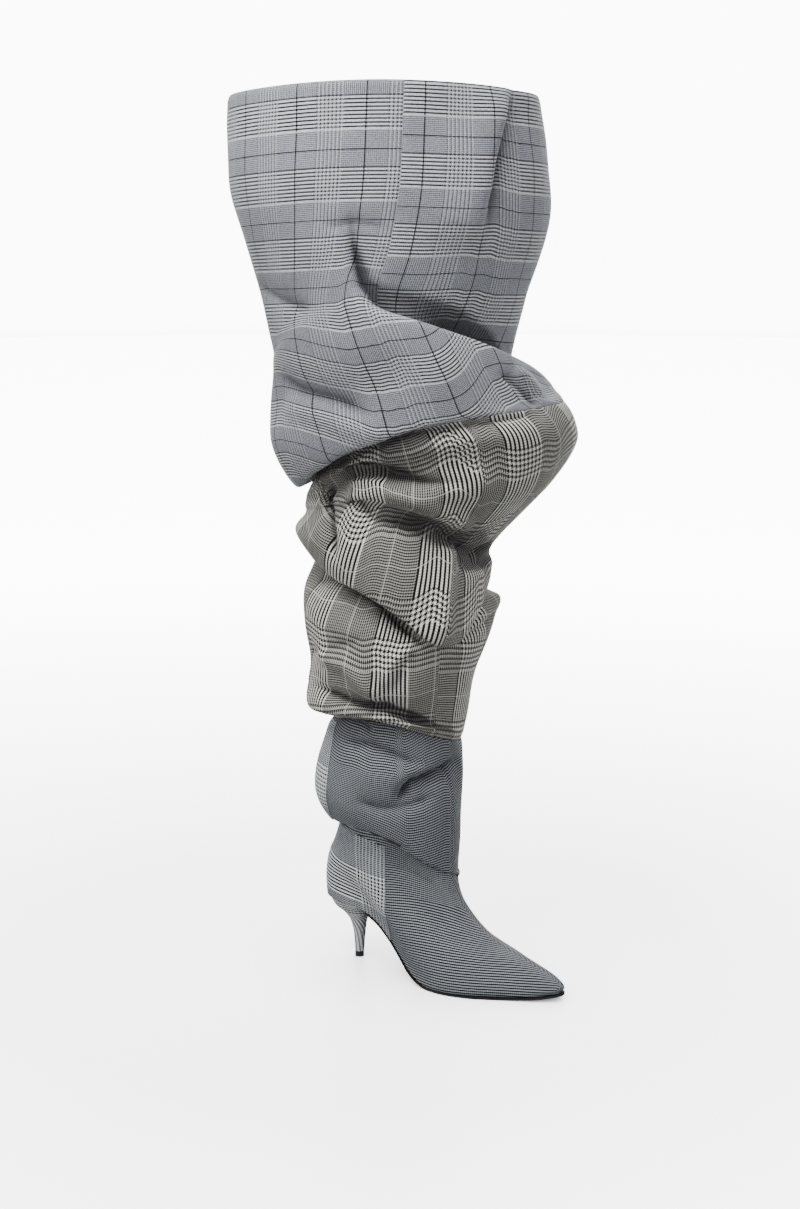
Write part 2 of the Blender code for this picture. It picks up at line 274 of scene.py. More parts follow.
def mixed(tree, share, first, second):
    """Colour at a share of the way between two colours, each a colour or another node's output."""
    node = tree.nodes.new("ShaderNodeMix")
    node.data_type = "RGBA"
    for number, value in zip(MIX_INPUTS, (share, first, second)):
        if isinstance(value, bpy.types.NodeSocket):
            tree.links.new(value, node.inputs[number])
        else:
            node.inputs[number].default_value = (*value, 1.0)
    return node.outputs[MIX_OUTPUT]


def counted(tree, length, plan):
    """Number of the thread at a length across the cloth, its place in the repeat and whether it is bold."""
    number = maths(tree, "FLOOR", maths(tree, "DIVIDE", length, plan["thread"] * MM))
    place = maths(tree, "FLOORED_MODULO", number, plan["repeat"])
    return number, place, maths(tree, "LESS_THAN", place, plan["bold"])


def toned(tree, place, plan, bold):
    """Tone of a thread, light (1) or dark (0), and its colour: bold threads change tone in eights, fine
    ones in fours."""
    coarse = maths(tree, "LESS_THAN", maths(tree, "FLOORED_MODULO", place, BOLD_STEP), plan["light"])
    fine = maths(tree, "LESS_THAN", maths(tree, "FLOORED_MODULO", place, FINE_STEP), FINE_LIGHT)
    light = maths(tree, "ADD", fine, maths(tree, "MULTIPLY", bold, maths(tree, "SUBTRACT", coarse, fine)))
    fine_colour = mixed(tree, light, *plan["fine tones"])
    return light, mixed(tree, bold, fine_colour, mixed(tree, light, *plan["bold tones"]))


def woven(name, warp, weft, thread_shade, marl=0.0):
    """Twill cloth of coloured threads: two over, two under, each thread's colour read from its plan.

    A plan gives a thread's width, the threads in a repeat and how many of them are bold, the light ones of
    each eight, the dark and light tones, and face, how many more steps its bold threads lie on top. Its lines
    are pane lines: place in the repeat, half-width in threads, share and colour. Where bold threads of unlike
    tone cross, the cloth darkens by the share thread_shade: partly painted shade between the threads,
    partly the darker look of the mixed weave. Marl is how dark the flecks of uneven yarn are. Last, painted
    shade stored on the points darkens the cloth in its creases, hollows and under rolls.
    """
    made = bpy.data.materials.new(name)
    made.use_nodes = True
    tree = made.node_tree
    shader = tree.nodes["Principled BSDF"]
    lay = tree.nodes.new("ShaderNodeUVMap")
    lay.uv_map = "cloth"
    split = tree.nodes.new("ShaderNodeSeparateXYZ")
    tree.links.new(lay.outputs["UV"], split.inputs[0])
    up, at_up, bold_up = counted(tree, split.outputs["X"], warp)
    over, at_over, bold_over = counted(tree, split.outputs["Y"], weft)
    light_up, tone_up = toned(tree, at_up, warp, bold_up)
    light_over, tone_over = toned(tree, at_over, weft, bold_over)
    step = maths(tree, "FLOORED_MODULO", maths(tree, "ADD", up, over), TWILL_STEP)
    more = maths(tree, "MULTIPLY", maths(tree, "GREATER_THAN", bold_up, bold_over), warp["face"])
    fewer = maths(tree, "MULTIPLY", maths(tree, "GREATER_THAN", bold_over, bold_up), weft["face"])
    shown = maths(tree, "ADD", TWILL_OVER, maths(tree, "SUBTRACT", more, fewer))
    cloth = mixed(tree, maths(tree, "LESS_THAN", step, shown), tone_over, tone_up)
    # Partly painted shade between the threads, partly the darker look of the mixed weave: where bold threads
    # of unlike tone cross, the cloth is darkened.
    unlike = maths(tree, "ABSOLUTE", maths(tree, "SUBTRACT", light_up, light_over))
    thread_shade_share = maths(tree, "MULTIPLY", maths(tree, "MAXIMUM", bold_up, bold_over), thread_shade)
    cloth = mixed(tree, maths(tree, "MULTIPLY", unlike, thread_shade_share), cloth, SHADE_AND_FLECK_BLACK)
    for place, plan in ((at_up, warp), (at_over, weft)):
        for at, wide, share, tone in plan["lines"]:
            line = maths(tree, "COMPARE", place, at, wide)
            cloth = mixed(tree, maths(tree, "MULTIPLY", line, share), cloth, tone)
    if marl:
        fleck = tree.nodes.new("ShaderNodeTexNoise")
        fleck.inputs["Scale"].default_value = FLECK_SCALE
        tree.links.new(lay.outputs["UV"], fleck.inputs["Vector"])
        dark = maths(tree, "GREATER_THAN", fleck.outputs["Fac"], FLECK_LEVEL)
        cloth = mixed(tree, maths(tree, "MULTIPLY", dark, marl), cloth, SHADE_AND_FLECK_BLACK)
    # Painted shade: the stored share darkens the cloth in its creases, hollows and under rolls.
    crease = tree.nodes.new("ShaderNodeAttribute")
    crease.attribute_name = "painted_shade"
    cloth = mixed(tree, maths(tree, "MULTIPLY", crease.outputs["Fac"], CREASE_SHADE), cloth, SHADE_AND_FLECK_BLACK)
    tree.links.new(cloth, shader.inputs["Base Color"])
    shader.inputs["Roughness"].default_value = CLOTH_ROUGHNESS
    shader.inputs["Specular IOR Level"].default_value = CLOTH_SHEEN
    tree.links.new(bumped(tree, **CLOTH_GRAIN), shader.inputs["Normal"])
    return made


def lengths(points, axis):
    """Distance run along rows or columns of points, from the first: the sum of the steps between them."""
    step = np.linalg.norm(np.diff(points, axis=axis), axis=-1)
    return np.concatenate([np.zeros_like(step.take([0], axis=axis)), np.cumsum(step, axis=axis)], axis=axis)


def cloth_uv(across, along):
    """Cloth coordinates in metres at the left and right edge of each face column, from the lengths across
    and along the cloth at the points of a grid whose last column repeats the first or ends the sheet."""
    lay = np.stack([across, along], axis=-1) * MM
    return np.stack([lay[:, :-1], lay[:, 1:]], axis=2)


NAVY = (0.004, 0.005, 0.008)
CHALK = (0.90, 0.93, 0.96)
HAZE = (0.36, 0.40, 0.45)
SMOKE = (0.46, 0.485, 0.51)
PEWTER = (0.24, 0.25, 0.265)
back_warp = {
    "thread": 0.49,
    "repeat": 180,
    "bold": 68,
    "light": 4,
    "bold tones": (NAVY, CHALK),
    "fine tones": (NAVY, SMOKE),
    "lines": [(1, 1.1, 0.5, HAZE)],
    "face": -1,
}
back_weft = dict(back_warp, thread=0.48, bold=85, lines=[], face=2)
back_cloth = woven("back_check", back_warp, back_weft, thread_shade=0.05)
heel_warp = dict(back_warp, bold=180, lines=[], face=2)
heel_warp["bold tones"] = (PEWTER, CHALK)
heel_weft = dict(back_weft, bold=36)


def heel_point(row, angle):
    """Section of the heel at an angle from its front: half round at the back, a squarer oval at the front,
    and sloped from the back to the front of the seat."""
    back_z, front_z, back_x, front_x, half_width, square = [v[:, None] for v in row.T]
    power = np.where(np.cos(angle) >= 0, 2 / square, 1.0)
    reach = (front_x - back_x) / 2
    x = (front_x + back_x) / 2 + reach * signed_power(np.cos(angle), power)
    y = -half_width * signed_power(np.sin(angle), power)
    z = back_z + (front_z - back_z) * (x - back_x) / (front_x - back_x)
    return np.stack([x, y, z], axis=-1)


heel_table = np.array(HEEL_SECTIONS)
heel_depths = np.linspace(-heel_table[0, 0], -heel_table[-1, 0], HEEL_ROWS)
heel_rows = curve_through(-heel_table[:, 0], heel_table, heel_depths, level=True)[::-1]
heel_angle = np.linspace(0, 2 * math.pi, HEEL_AROUND, endpoint=False)[None]
heel_points = heel_point(heel_rows, heel_angle)
heel_edge = np.concatenate([heel_points, heel_points[:, :1]], axis=1)
heel_u = lengths(heel_edge, 1)
heel_u = heel_u - heel_u[:, -1:] / 2
heel_v = np.repeat(np.linspace(*HEEL_LAY, HEEL_ROWS)[:, None], HEEL_AROUND + 1, axis=1)
heel = grid_piece("heel_cover", heel_points, cloth_uv(heel_u, heel_v))
heel.data.materials.append(woven("heel_check", heel_warp, heel_weft, thread_shade=0.0))
settle(heel, "heel")

# Foot and ankle: one cloth shell in small two-tone teeth, lined in black, seamed down the front.
# The ankle slumps over the foot in a lip; its listed creases are pressed into the cloth.
AXIS_X = 36.0
TURN = math.radians(29.5)
FOOT_RINGS = [
    # name, back x, back z, front x, front z, share of the sole's bend, rounding, heel fullness, toe fullness
    ("sole edge", SOLE_BACK, 67.0, SOLE_FRONT, 8.0, 1.00, 0.00, 58.0, 29.0),
    ("side wall", -34.5, 79.0, 232.5, 13.5, 0.97, 0.10, 58.0, 30.0),
    ("toe top", -34.5, 91.0, 221.0, 22.0, 0.86, 0.25, 58.0, 24.0),
    ("vamp", -32.5, 104.0, 196.0, 32.0, 0.62, 0.50, 57.0, 20.0),
    ("throat", -28.0, 117.0, 155.0, 47.0, 0.36, 0.75, 56.0, 20.0),
    ("instep", -21.0, 131.0, 121.0, 76.0, 0.16, 0.92, 54.0, 25.0),
]
NO_TIP = (0.0, 0.0, 0.0, 30.0)
LEG_RINGS = [
    # name, height and reach on the right, near, left and far side, tip: at side angle, rise, out, width
    ("ankle crease", (100, 156, 164, 160), (68, 47, 47, 45), (30, 0, 6, 25)),
    ("ankle lip", (106, 149, 158, 155), (69, 59, 58, 52), (30, 0, 4, 25)),
    ("ankle bulge", (190, 188, 192, 192), (74, 68, 74, 64), NO_TIP),
    ("ankle trough", (226, 240, 246, 240), (74, 62, 62, 59), NO_TIP),
    ("ankle seam", (239, 268, 261, 260), (73, 60, 56, 57), NO_TIP),
    ("calf roll", (247, 275, 272, 270), (75, 71, 80, 67), NO_TIP),
    ("calf crease", (258, 288, 298, 286), (77, 65, 80, 67), NO_TIP),
    ("calf", (313, 306, 325, 318), (87, 80, 78, 74), NO_TIP),
    ("calf bulge", (370, 350, 384, 372), (106, 86, 84, 80), NO_TIP),
    ("flap crease", (392, 408, 420, 412), (94, 76, 72, 80), (56, -38, 0, 30)),
    ("flap lip", (403, 396, 434, 424), (98, 93, 75, 84), (56, -40, 8, 28)),
    ("flap", (419, 440, 450, 446), (101, 99, 91, 90), (56, -20, 2, 35)),
    ("under knee", (438, 478, 466, 470), (103, 94, 80, 82), NO_TIP),
    ("knee low", (498, 496, 474, 488), (158, 103, 80, 88), NO_TIP),
    ("knee crease", (534, 516, 484, 504), (181, 93, 79, 85), NO_TIP),
    ("knee roll", (556, 534, 489, 515), (180, 106, 76, 92), NO_TIP),
    ("knee seam", (575, 551, 501, 530), (170, 109, 72, 96), NO_TIP),
    ("billow lip", (586, 556, 491, 538), (160, 121, 90, 108), NO_TIP),
    ("billow", (594, 612, 536, 590), (154, 131, 114, 118), NO_TIP),
    ("billow edge", (602, 664, 606, 630), (143, 128, 111, 114), NO_TIP),
    ("pocket", (606, 686, 624, 648), (119, 124, 111, 113), (42, -15, -8, 32)),
    ("thigh", (672, 732, 695, 702), (131, 127, 127, 121), NO_TIP),
    ("flare", (752, 790, 775, 775), (153, 133, 149, 128), NO_TIP),
    ("collar", (858, 868, 858, 862), (142, 134, 150, 130), NO_TIP),
]
FINE = 1440
ROW_PROBES = 60
SIDE_PROBES = 24
WALL = 2.0
SEAM_GROOVE = 0.9
SEAM_WIDTH = 1.8
EDGE_TURN = (1.6, 0.8, 0.3)
LOW_EDGE = (0, 1, 2)
TOP_EDGE = (-1, -2, -3)
RING_SEAMS = ("ankle seam", "knee seam")
SEAM_HOLD = 0.25  # rings
CREASE_ROUND = 1.5
CREASE_SPREAD = 0.8
WIDE_TROUGH = 20.0
FOLD_FADE = 0.25  # share of a path's length
RING_FADE = 0.4  # rings
WAVE_HEIGHT = 0.45
WAVE_RIPPLE = 0.6
WAVES = [
    # waves round the leg, height in which a wave turns by a radian
    (5, 17.0),
    (3, 23.0),
    (11, -11.0),
]
# Painted shade in creases and hollows, measured at three widths of evening out.
HOLLOW_SHADE = [
    # rounds of evening out, depth from which it darkens, full depth, share
    (14, 0.15, 3.2, 0.75),
    (110, 0.6, 9.0, 0.65),
    (700, 0.3, 3.6, 0.8),
]
# Painted shadow under a roll: its darkest share, and how far out the roll must stand for it to be full.
ROLL_SHADE = 0.85
ROLL_OUT = 12.0
ANKLE_SHADE_FALL = 9.0
UPPER_ROWS = 176
LIP_TURN = (6.4, 6.42)  # rings
LIP_CLEAR = 0.8  # rings
TILT_RINGS = (*LIP_TURN, 7.8, 8.6)
TILT = (0.0, 0.42, 0.3, 0.0)
TILT_FROM = 35.0
UPPER_OUTER = 165  # columns on the outer side
UPPER_INNER = 110  # columns on the inner side
UPPER_FOLDS = [
    # from ring, to ring, reach, rise, spread left and right of the path, path of (side angle, height)
    ("ankle lip", "ankle seam", 69, -16, 3.5, 13,
     [(82, 184), (79, 197), (75, 205), (69, 211), (58, 213), (38, 218), (14, 224)]),
    ("ankle lip", "ankle seam", 69, 5, 14, 16, [(128, 218), (100, 218), (84, 215), (70, 219), (50, 221)]),
    ("ankle bulge", "ankle seam", 62, -6, 7, 7,
     [(146, 250), (132, 247), (107, 247), (92, 242), (74, 234), (50, 222)]),
    ("ankle lip", "ankle trough", 69, -6, 6, 9,
     [(122, 192), (110, 189), (98, 185), (80, 185), (64, 188), (42, 194)]),
    ("ankle trough", "ankle seam", 58, -5, 4, 4, [(132, 275), (122, 268), (110, 263), (108, 254)]),
    ("instep", "ankle lip", 52, -5, 6, 6,
     [(175, 162), (156, 160), (118, 158), (96, 153), (70, 144), (52, 131)]),
    ("vamp", "ankle crease", 60, -1.5, 5, 7, [(112, 122), (80, 112), (55, 96)]),
]


def foot_ring(row, angle):
    """Ring of the foot: the cosine of the angle gives the place along it, and its sine times a half-width the
    place across, from the sole's outline to an even taper; a share of the sole's bend lowers it."""
    back_x, back_z, front_x, front_z, bend, rounding, heel_full, toe_full = row[1:]
    along = (1 + np.cos(angle)) / 2
    sag = sole_height(SOLE_BACK + (SOLE_FRONT - SOLE_BACK) * along)
    sag = sag - (SOLE_PROFILE[0][1] + (SOLE_PROFILE[-1][1] - SOLE_PROFILE[0][1]) * along)
    half = np.where(np.sin(angle) >= 0, sole_half(along, 1), sole_half(along, 2))
    half = (1 - rounding) * half + rounding * (heel_full + (toe_full - heel_full) * along)
    x = back_x + (front_x - back_x) * along
    y = TOE_SWING * along ** 3 - half * np.sin(angle)
    return np.stack([x, y, back_z + (front_z - back_z) * along + bend * sag], axis=-1)


def round_the_leg(sides, angle):
    """Value round the leg from its value on the right, near, left and far side: their mean plus the first
    cosine and sine and the second cosine that pass through all four."""
    right, near, left, far = sides
    turned = angle + TURN
    value = (right + near + left + far) / 4
    value = value + (right - left) / 2 * np.cos(turned) + (near - far) / 2 * np.sin(turned)
    return value + (right + left - near - far) / 4 * np.cos(2 * turned)


def leg_ring(row, angle):
    """Ring of the leg along one fold: its reach from the axis and its height round the leg, with the flap's
    pointed tip added as a bell curve of the angle."""
    heights, reaches, (tip_at, tip_rise, tip_out, tip_width) = row[1:]
    away = (angle + TURN - math.radians(tip_at) + math.pi) % (2 * math.pi) - math.pi
    point = np.exp(-((away / math.radians(tip_width)) ** 2))
    reach = round_the_leg(reaches, angle) + tip_out * point
    z = round_the_leg(heights, angle) + tip_rise * point
    return np.stack([AXIS_X + reach * np.cos(angle), -reach * np.sin(angle), z], axis=-1)


FINE_ANGLES = np.linspace(0, 2 * math.pi, FINE, endpoint=False)
RING_NAMES = [row[0] for row in FOOT_RINGS] + [row[0] for row in LEG_RINGS]
RINGS = np.array(
    [foot_ring(row, FINE_ANGLES) for row in FOOT_RINGS] + [leg_ring(row, FINE_ANGLES) for row in LEG_RINGS]
)


def even_rows(first, last, count):
    """Places between two named rings, in rings, at even steps of the way up, averaged round the leg."""
    start, end = RING_NAMES.index(first), RING_NAMES.index(last)
    place = np.linspace(start, end, ROW_PROBES * (end - start) + 1)
    sides = curve_through(np.arange(len(RINGS)), RINGS[:, :: FINE // SIDE_PROBES], place)
    run = np.linalg.norm(np.diff(sides, axis=0), axis=-1).mean(axis=1)
    run = np.concatenate([[0], np.cumsum(run)])
    return np.interp(np.linspace(0, run[-1], count), run, place)


def outward(points):
    """Unit vectors square to a closed grid of points, pointing away from the leg: the cross product of the
    steps up and round."""
    around = np.roll(points, -1, axis=1) - np.roll(points, 1, axis=1)
    normal = np.cross(np.gradient(points, axis=0), around)
    return normal / np.linalg.norm(normal, axis=-1, keepdims=True)


def fold_rise(fold, place, side, height):
    """Height of one fold at each point: a ridge or wide trough falls off on both hands of its path by a bell
    curve, and a crease more sharply; a fold fades towards either end and stays between two rings."""
    first, last, reach, rise, left, right, path = fold
    path = np.array(path, float)
    middle = path[:, 0].mean()
    turned = (side - middle + 180) % 360 - 180
    x = -np.radians(turned) * reach
    line = np.stack([-np.radians(path[:, 0] - middle) * reach, path[:, 1]], axis=-1)
    step = np.diff(line, axis=0)
    length = np.linalg.norm(step, axis=-1)
    before = np.concatenate([[0], np.cumsum(length)])
    best = np.full(x.shape, np.inf)
    hand = np.zeros(x.shape)
    run = np.zeros(x.shape)
    for start, way, size, passed in zip(line[:-1], step, length, before):
        dx, dz = x - start[0], height - start[1]
        share = np.clip((dx * way[0] + dz * way[1]) / size ** 2, 0, 1)
        far = np.hypot(dx - share * way[0], dz - share * way[1])
        nearer = far < best
        best = np.where(nearer, far, best)
        hand = np.where(nearer, way[0] * dz - way[1] * dx, hand)
        run = np.where(nearer, passed + share * size, run)
    spread = np.where(hand > 0, left, right)
    end = np.clip(np.minimum(run, before[-1] - run) / (FOLD_FADE * before[-1]), 0, 1)
    fade = end ** 2 * (3 - 2 * end)
    low, high = RING_NAMES.index(first), RING_NAMES.index(last)
    inside = np.clip((place - low) / RING_FADE + 0.5, 0, 1) * np.clip((high - place) / RING_FADE + 0.5, 0, 1)
    soft = (best / spread) ** 2
    if rise < 0 and min(left, right) < WIDE_TROUGH:
        soft = (np.hypot(best, CREASE_ROUND) - CREASE_ROUND) / (CREASE_SPREAD * spread)
    return rise * np.exp(-soft) * fade * inside


def waviness(side, height):
    """Slight unevenness of the cloth: two slow waves multiplied, and a quicker ripple added."""
    slow, cross, ripple = [np.sin(np.radians(side * turns) + height / run) for turns, run in WAVES]
    return WAVE_HEIGHT * (slow * cross + WAVE_RIPPLE * ripple)


def draped(place, angle, folds):
    """Grid of the boot's outside at places between rings and angles per row, with its folds pressed in
    and a slight waviness that both end at the ring seams, as (points, unit vectors outward)."""
    rows = curve_through(np.arange(len(RINGS)), RINGS, place)
    spot = (angle / (2 * math.pi) % 1) * FINE
    cell = np.floor(spot).astype(int)
    share = (spot - cell)[..., None]
    row = np.arange(len(place))[:, None]
    points = rows[row, cell % FINE] * (1 - share) + rows[row, (cell + 1) % FINE] * share
    normal = outward(points)
    side = np.degrees(angle + TURN) % 360
    height = points[..., 2]
    lift = sum(fold_rise(fold, place[:, None] + 0 * side, side, height) for fold in folds)
    free = [np.abs(place - RING_NAMES.index(seam)) / SEAM_HOLD for seam in RING_SEAMS]
    free = np.clip(np.minimum(*free), 0, 1)[:, None]
    return points + normal * (free * (lift + waviness(side, height)))[..., None], normal


def under_roll(points, angle, own, roll, fall):
    """Share of painted shadow on the cloth under a roll: full at the top edge where the ring of the roll
    stands far out over the piece's own top ring, and falling off down the cloth over a given length."""
    rings = [RINGS[RING_NAMES.index(ring)] for ring in (own, roll)]
    own_reach, roll_reach = [np.hypot(ring[:, 0] - AXIS_X, ring[:, 1]) for ring in rings]
    out = np.interp(angle % (2 * math.pi), FINE_ANGLES, roll_reach - own_reach, period=2 * math.pi)
    run = lengths(points, 0)
    return ROLL_SHADE * np.clip(out / ROLL_OUT, 0, 1) * np.exp((run - run[-1]) / fall)


def mark_painted_shade(made, points, out, scales, shade):
    """Stores the share of painted shade at each point: how far it lies below the evened-out cloth
    around it, narrow creases and wide hollows together, as a share of a deep one, joined with the painted
    shadow of a roll above it."""
    open_share = 1 - shade
    even = points.copy()
    done = 0
    for rounds, start, deep, share in scales:
        for _ in range(rounds - done):
            rows = np.concatenate([even[:1], even, even[-1:]])
            even = (even + rows[:-2] + rows[2:] + np.roll(even, 1, axis=1) + np.roll(even, -1, axis=1)) / 5
        done = rounds
        below = ((even - points) * out).sum(axis=-1)
        open_share = open_share * (1 - share * np.clip((below - start) / (deep - start), 0, 1))
    share = 1 - open_share
    store = made.data.attributes.new("painted_shade", "FLOAT", "POINT")
    store.data.foreach_set("value", share.astype(np.float32).ravel())


def up_the_side(points):
    """Height of the lower edge of one side of the foot plus the way up from it in the foot's cross-section:
    each row adds its distance from the row below at the same place along the foot."""
    up = np.zeros(points.shape[:2])
    up[0] = points[0, :, 2]
    for row in range(1, len(points)):
        below = points[row - 1][np.argsort(points[row - 1, :, 0])]
        passed = up[row - 1][np.argsort(points[row - 1, :, 0])]
        x, y, z = points[row].T
        gap = np.hypot(y - np.interp(x, below[:, 0], below[:, 1]), z - np.interp(x, below[:, 0], below[:, 2]))
        up[row] = np.interp(x, below[:, 0], passed) + gap
    return up


def pressed_seam(points, out, column):
    """Sinks a narrow groove along one column, where two panels are sewn together, by a bell curve of the
    distance round the ring."""
    ring = lengths(points, 1)
    apart = np.abs(ring - ring[:, column][:, None])
    apart = np.minimum(apart, ring[:, -1:] - apart)
    groove = np.exp(-((apart / SEAM_WIDTH) ** 2))
    return points - out * (SEAM_GROOVE * groove)[..., None]


def turn_in(points, rows):
    """Bends the rows at an edge towards the middle of the leg, the edge itself most."""
    for row, inward in zip(rows, EDGE_TURN):
        away = (points[row] - (AXIS_X, 0, 0)) * (1, 1, 0)
        points[row] -= away / np.linalg.norm(away, axis=-1, keepdims=True) * inward


def thickened(made, thick):
    """Gives a sheet its thickness, inwards from its outside."""
    wall = made.modifiers.new("wall", "SOLIDIFY")
    wall.thickness = thick * MM
    wall.offset = -1
    return wall


def hollowed(made, lining):
    """Gives a cloth shell its wall, with the lining on the inside."""
    made.data.materials.append(lining)
    wall = thickened(made, WALL)
    wall.material_offset = 1
    wall.material_offset_rim = 0


upper_rows = even_rows("sole edge", "ankle seam", UPPER_ROWS - len(LIP_TURN))
upper_place = np.sort(np.append(upper_rows, LIP_TURN))
upper_angle = np.concatenate(
    [
        np.linspace(0, math.pi, UPPER_OUTER, endpoint=False),
        np.linspace(math.pi, 2 * math.pi, UPPER_INNER, endpoint=False),
    ]
)
upper_angle = np.repeat(upper_angle[None], UPPER_ROWS, axis=0)
upper_points, upper_out = draped(upper_place, upper_angle, UPPER_FOLDS)
off_lip = np.clip(np.abs(upper_place - LIP_TURN[0]) / LIP_CLEAR, 0, 1)
upper_points = pressed_seam(upper_points, upper_out * off_lip[:, None, None], 0)
turn_in(upper_points, TOP_EDGE)

# The cloth of the foot lies level along each side: across by the plan of the foot, up by its girth.
upper_round = np.concatenate([upper_points, upper_points[:, :1]], axis=1)
upper_plan = lengths(upper_round * (1, 1, 0), 1)
quarter = UPPER_OUTER // 2
upper_u = upper_points[:, quarter, 0][:, None] - (upper_plan - upper_plan[:, quarter][:, None])
foot_rows = int((upper_place < RING_NAMES.index("instep")).sum())
outer_v = up_the_side(upper_round[:foot_rows, : UPPER_OUTER + 1])
inner_v = up_the_side(upper_round[:foot_rows, UPPER_OUTER:])
foot_v = np.concatenate([outer_v, inner_v[:, 1:]], axis=1)
upper_v = np.concatenate([foot_v, foot_v[-1:] + lengths(upper_round[foot_rows - 1:], 0)[1:]])
upper_tilt = np.interp(upper_place, TILT_RINGS, TILT)[:, None]
from_front = np.minimum(upper_plan, upper_plan[:, -1:] - upper_plan)
upper_v = upper_v - upper_tilt * np.maximum(from_front - TILT_FROM, 0)
upper = grid_piece("foot_cloth", upper_points, cloth_uv(upper_u, upper_v))
BONE = (0.41, 0.435, 0.455)
FLINT = (0.16, 0.17, 0.175)
LINING_BLACK = (0.012, 0.012, 0.013)
tooth_weft = {
    "thread": 0.335,
    "repeat": 8,
    "bold": 8,
    "light": 4,
    "bold tones": (NAVY, BONE),
    "fine tones": (NAVY, BONE),
    "lines": [],
    "face": 2,
}
tooth_warp = dict(tooth_weft, thread=0.49, bold=0, face=0)
tooth_warp["fine tones"] = (NAVY, FLINT)
black_lining = plain("black_lining", LINING_BLACK, roughness=0.7, grain=(1200, 0.0002))
upper.data.materials.append(woven("small_teeth", tooth_warp, tooth_weft, thread_shade=0.55))
# Painted shade: the calf roll's shadow on the top of the ankle cloth, and the creases, darken its colour.
upper_shade = under_roll(upper_points, upper_angle, "ankle seam", "calf roll", ANKLE_SHADE_FALL)
mark_painted_shade(upper, upper_points, upper_out, HOLLOW_SHADE[:2], upper_shade)
hollowed(upper, black_lining)
settle(upper, "upper")

# Heel counter and back panel: flat cloth patches in the checked cloth, sewn over the back of the foot
# and up the back of the ankle, ending at upright seams.
PATCH_LIFT = 0.9
PATCH_THICK = 0.7
COUNTER_SEAM_X = 55.0
BACK_SEAM_X = 4.0
PATCHES = [
    # name, node, from ring, to ring, seam x, rows, columns, height and fall of the check band
    ("counter_cloth", "heel_counter", 0.02, 5.6, COUNTER_SEAM_X, 70, 110, 64.0, 0.17),
    ("back_cloth", "back_panel", 7.2, 9.7, BACK_SEAM_X, 80, 80, 176.0, 0.0),
]


def seam_angles(place, seam_x):
    """Angles at which the boot's outside crosses an upright seam, on the outer and the inner side, read
    between the fine points of each row."""
    rows = curve_through(np.arange(len(RINGS)), RINGS, place)[..., 0]
    half = FINE // 2
    outer = [np.interp(-seam_x, -row[:half + 1], FINE_ANGLES[:half + 1]) for row in rows]
    inner = [np.interp(seam_x, row[half:], FINE_ANGLES[half:]) for row in rows]
    return np.array(outer), np.array(inner)


for patch_name, patch_node, first, last, seam_x, row_count, column_count, band_height, band_fall in PATCHES:
    patch_place = np.linspace(first, last, row_count)
    outer_seam, inner_seam = [side[:, None] for side in seam_angles(patch_place, seam_x)]
    patch_angle = outer_seam + (inner_seam - outer_seam) * np.linspace(0, 1, column_count)[None]
    patch_points, patch_out = draped(patch_place, patch_angle, UPPER_FOLDS)
    patch_out[:, 0], patch_out[:, -1] = patch_out[:, 1], patch_out[:, -2]
    patch_points = patch_points + patch_out * PATCH_LIFT
    patch_u = lengths(patch_points * (1, 1, 0), 1)
    patch_u = np.minimum(patch_u, patch_u[:, -1:] - patch_u)
    patch_v = patch_points[..., 2] - band_height - band_fall * patch_u
    patch = grid_piece(patch_name, patch_points, cloth_uv(patch_u, patch_v), closed=False)
    patch.data.materials.append(back_cloth)
    thickened(patch, PATCH_THICK)
    settle(patch, patch_node)

# Middle of the leg: cream and black glen check, cut in two panels with a seam down the front of the
# flap. It slumps in a roll at the calf, a pointed flap and two rolls under the knee.
MIDDLE_ROWS = 190
MIDDLE_FRONT = 115  # columns before the front seam
MIDDLE_OUTER = 140  # columns after it
BACK_SEAM = 285.0  # side angle
SEAM_CROWD = 0.35
EVEN_ROUNDS = 500
MIDDLE_INNER_FOLDS = (0, 2, 9, 10, 11, 15, 16)
MIDDLE_INNER_DROP = 6.0
KNEE_SHADE_FALL = 26.0
MIDDLE_INNER_SHIFT = (60.0, 10.0)
MIDDLE_SHIFT_RINGS = (13.9, 16.0, 18.0, 22.0)
MIDDLE_SHIFT = (-30.0, 5.0, 4.0, -4.0)
MIDDLE_SEAM = [
    # ring, side angle
    (10.0, 46.0),
    (12.0, 48.2),
    (13.3, 55.0),
    (14.0, 57.0),
    (16.1, 60.0),
    (17.0, 56.0),
    (17.8, 52.0),
    (18.4, 47.5),
    (19.2, 49.3),
    (20.5, 52.5),
    (22.0, 57.8),
]
